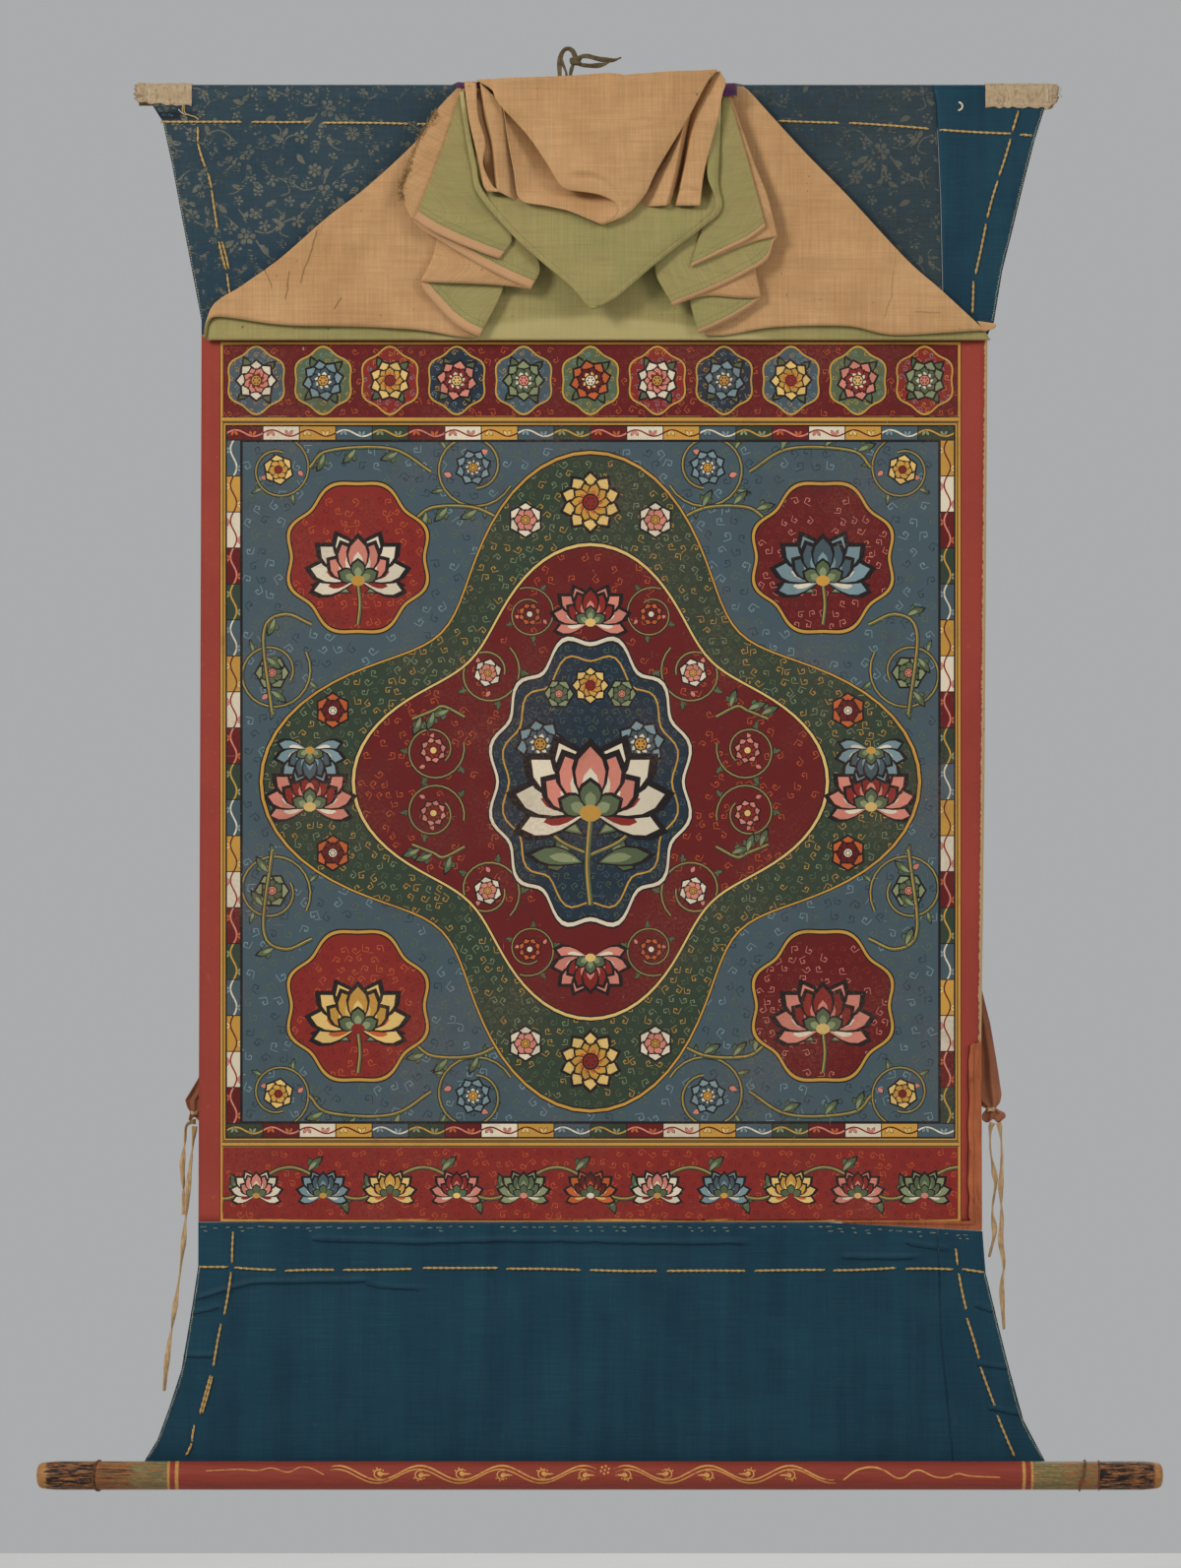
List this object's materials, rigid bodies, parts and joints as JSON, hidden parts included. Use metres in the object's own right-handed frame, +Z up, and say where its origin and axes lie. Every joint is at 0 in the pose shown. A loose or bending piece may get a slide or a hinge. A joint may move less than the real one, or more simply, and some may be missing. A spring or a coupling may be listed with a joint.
{
  "type": "thangka scroll painting with its stick and roller",
  "caption": "Hanging cloth scroll: painted canvas with blue silk heading and foot, a gathered peach and green veil, a top stick with a hanging tie, and a painted roller",
  "frame": {"origin": "the nail point inside the top of the hanging tie's loop", "axes": "+X to the viewer's right along the stick, +Y back towards the wall, +Z up; the painted face looks along -Y"},
  "size_m": [1.073, 0.0628, 1.3795],
  "materials": {
    "painted_cloth": "cotton cloth with a matt painted ground, crackled and worn",
    "orange_cloth": "worn orange-brown silk strip, frayed",
    "blue_brocade": "dark blue silk with grey-gold woven flowers",
    "blue_silk": "plain blue ribbed silk",
    "plain_wood": "plain unfinished wood",
    "pale_cotton": "off-white cotton, worn",
    "painted_wood": "red paint with yellow scrolls, green and gilded ends, worn",
    "dark_wire": "dark tarnished wire",
    "olive_tie": "olive-brown soft leather tie",
    "peach_silk": "peach plain silk",
    "green_silk": "yellow-green plain silk lining",
    "purple_silk": "purple silk ribbon",
    "brown_silk": "brown silk sash",
    "cream_ribbon": "cream twisted silk ribbon",
    "yellow_cord": "yellow silk stitch cord"
  },
  "bodies": {
    "root": {"canvas": "painted_cloth", "edge_strip": "orange_cloth", "top_panel": "blue_brocade", "top_panel_side": "blue_silk", "bottom_panel": "blue_silk", "bottom_panel_side": "blue_silk", "top_stick": "plain_wood", "stick_cap_left": "pale_cotton", "stick_cap_right": "pale_cotton", "roller": "painted_wood", "ring_left": "dark_wire", "ring_inner_right": "dark_wire", "ring_outer_right": "dark_wire", "hanging_loop": "olive_tie", "veil": "peach_silk", "veil_tie_left": "purple_silk", "veil_tie_right": "purple_silk", "sash_left": "brown_silk", "sash_right": "brown_silk", "ribbon_left_short": "cream_ribbon", "ribbon_left_long": "cream_ribbon", "ribbon_right_short": "cream_ribbon", "ribbon_right_long": "cream_ribbon"}
  },
  "joints": []
}
